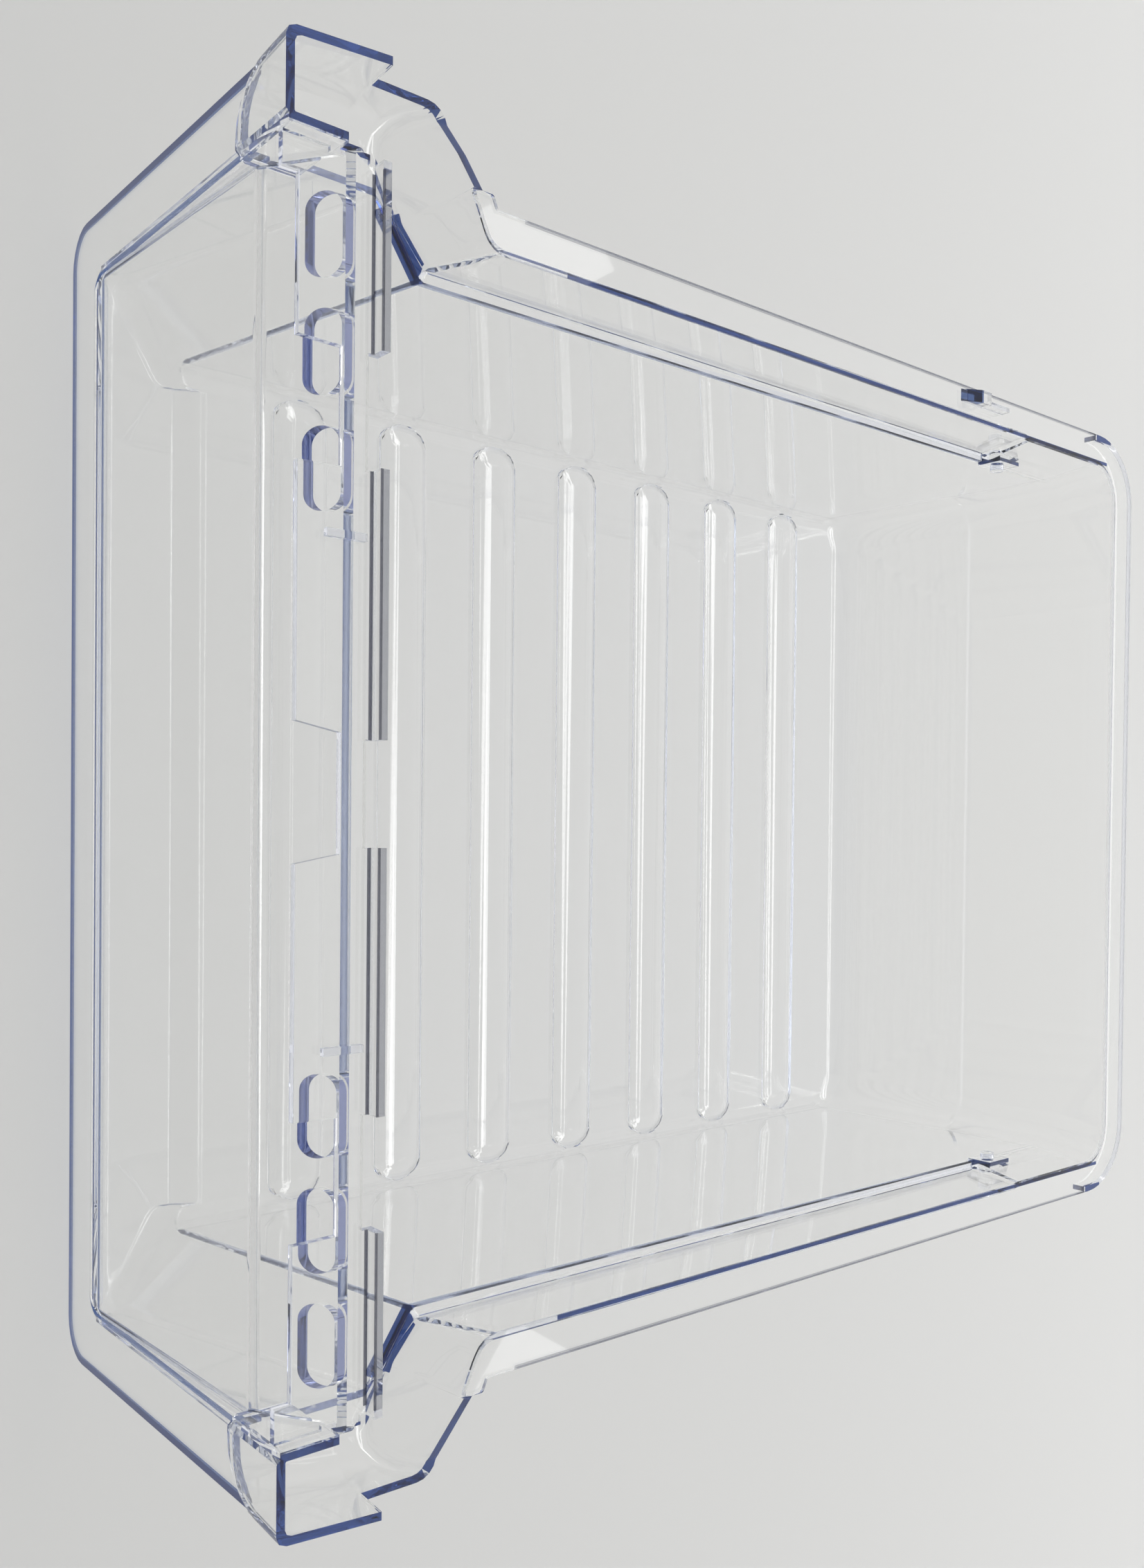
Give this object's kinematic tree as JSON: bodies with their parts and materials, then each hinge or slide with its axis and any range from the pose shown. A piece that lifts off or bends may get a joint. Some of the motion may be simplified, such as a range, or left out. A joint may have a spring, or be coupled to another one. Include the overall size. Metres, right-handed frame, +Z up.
{
  "type": "freezer drawer",
  "caption": "Clear one-piece freezer drawer with a stepped front bay, raised vented front, clip tongues, side ledges, runner flanges and a ribbed floor",
  "frame": {"origin": "middle of the base of the drawer's overall box, at the height of the front plate's lower edge", "axes": "+X to the right seen from the front, +Y towards the rear of the drawer, +Z up; the front plate faces -Y"},
  "size_m": [0.4076, 0.424, 0.1765],
  "materials": {
    "clear_polystyrene": "clear moulded polystyrene with a pale blue cast, polished all over"
  },
  "bodies": {
    "root": {"drawer_tub": "clear_polystyrene"}
  },
  "joints": []
}
